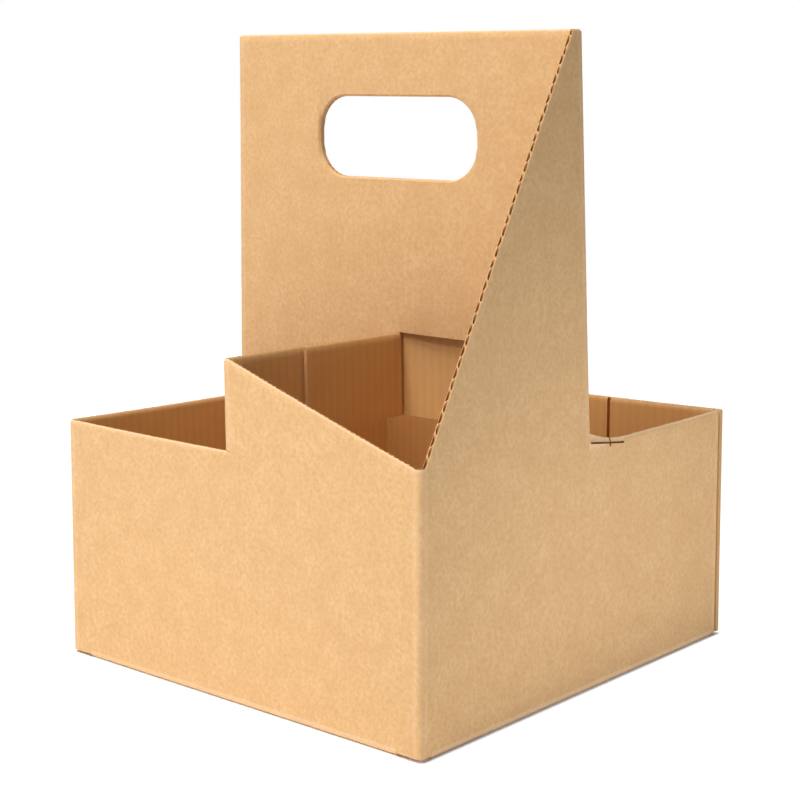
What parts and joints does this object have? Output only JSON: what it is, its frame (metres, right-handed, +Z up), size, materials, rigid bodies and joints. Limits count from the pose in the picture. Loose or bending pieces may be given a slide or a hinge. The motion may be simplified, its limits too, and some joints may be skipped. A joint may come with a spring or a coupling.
{
  "type": "cardboard cup carrier",
  "caption": "Kraft corrugated carrier for takeaway cups: open square box, upright two-ply handle panel with a hand hole, slanted raised walls and divider straps.",
  "frame": {"origin": "under the middle of the base, at the height of the surface it stands on", "axes": "+Z up, +X along the front wall towards the corner where the raised walls meet, +Y from the front wall to the back, the handle in the plane Y = 0"},
  "size_m": [0.19, 0.198, 0.258],
  "materials": {
    "kraft_board": "uncoated brown kraft liner, matt"
  },
  "bodies": {
    "root": {"cup_carrier": "kraft_board"}
  },
  "joints": []
}
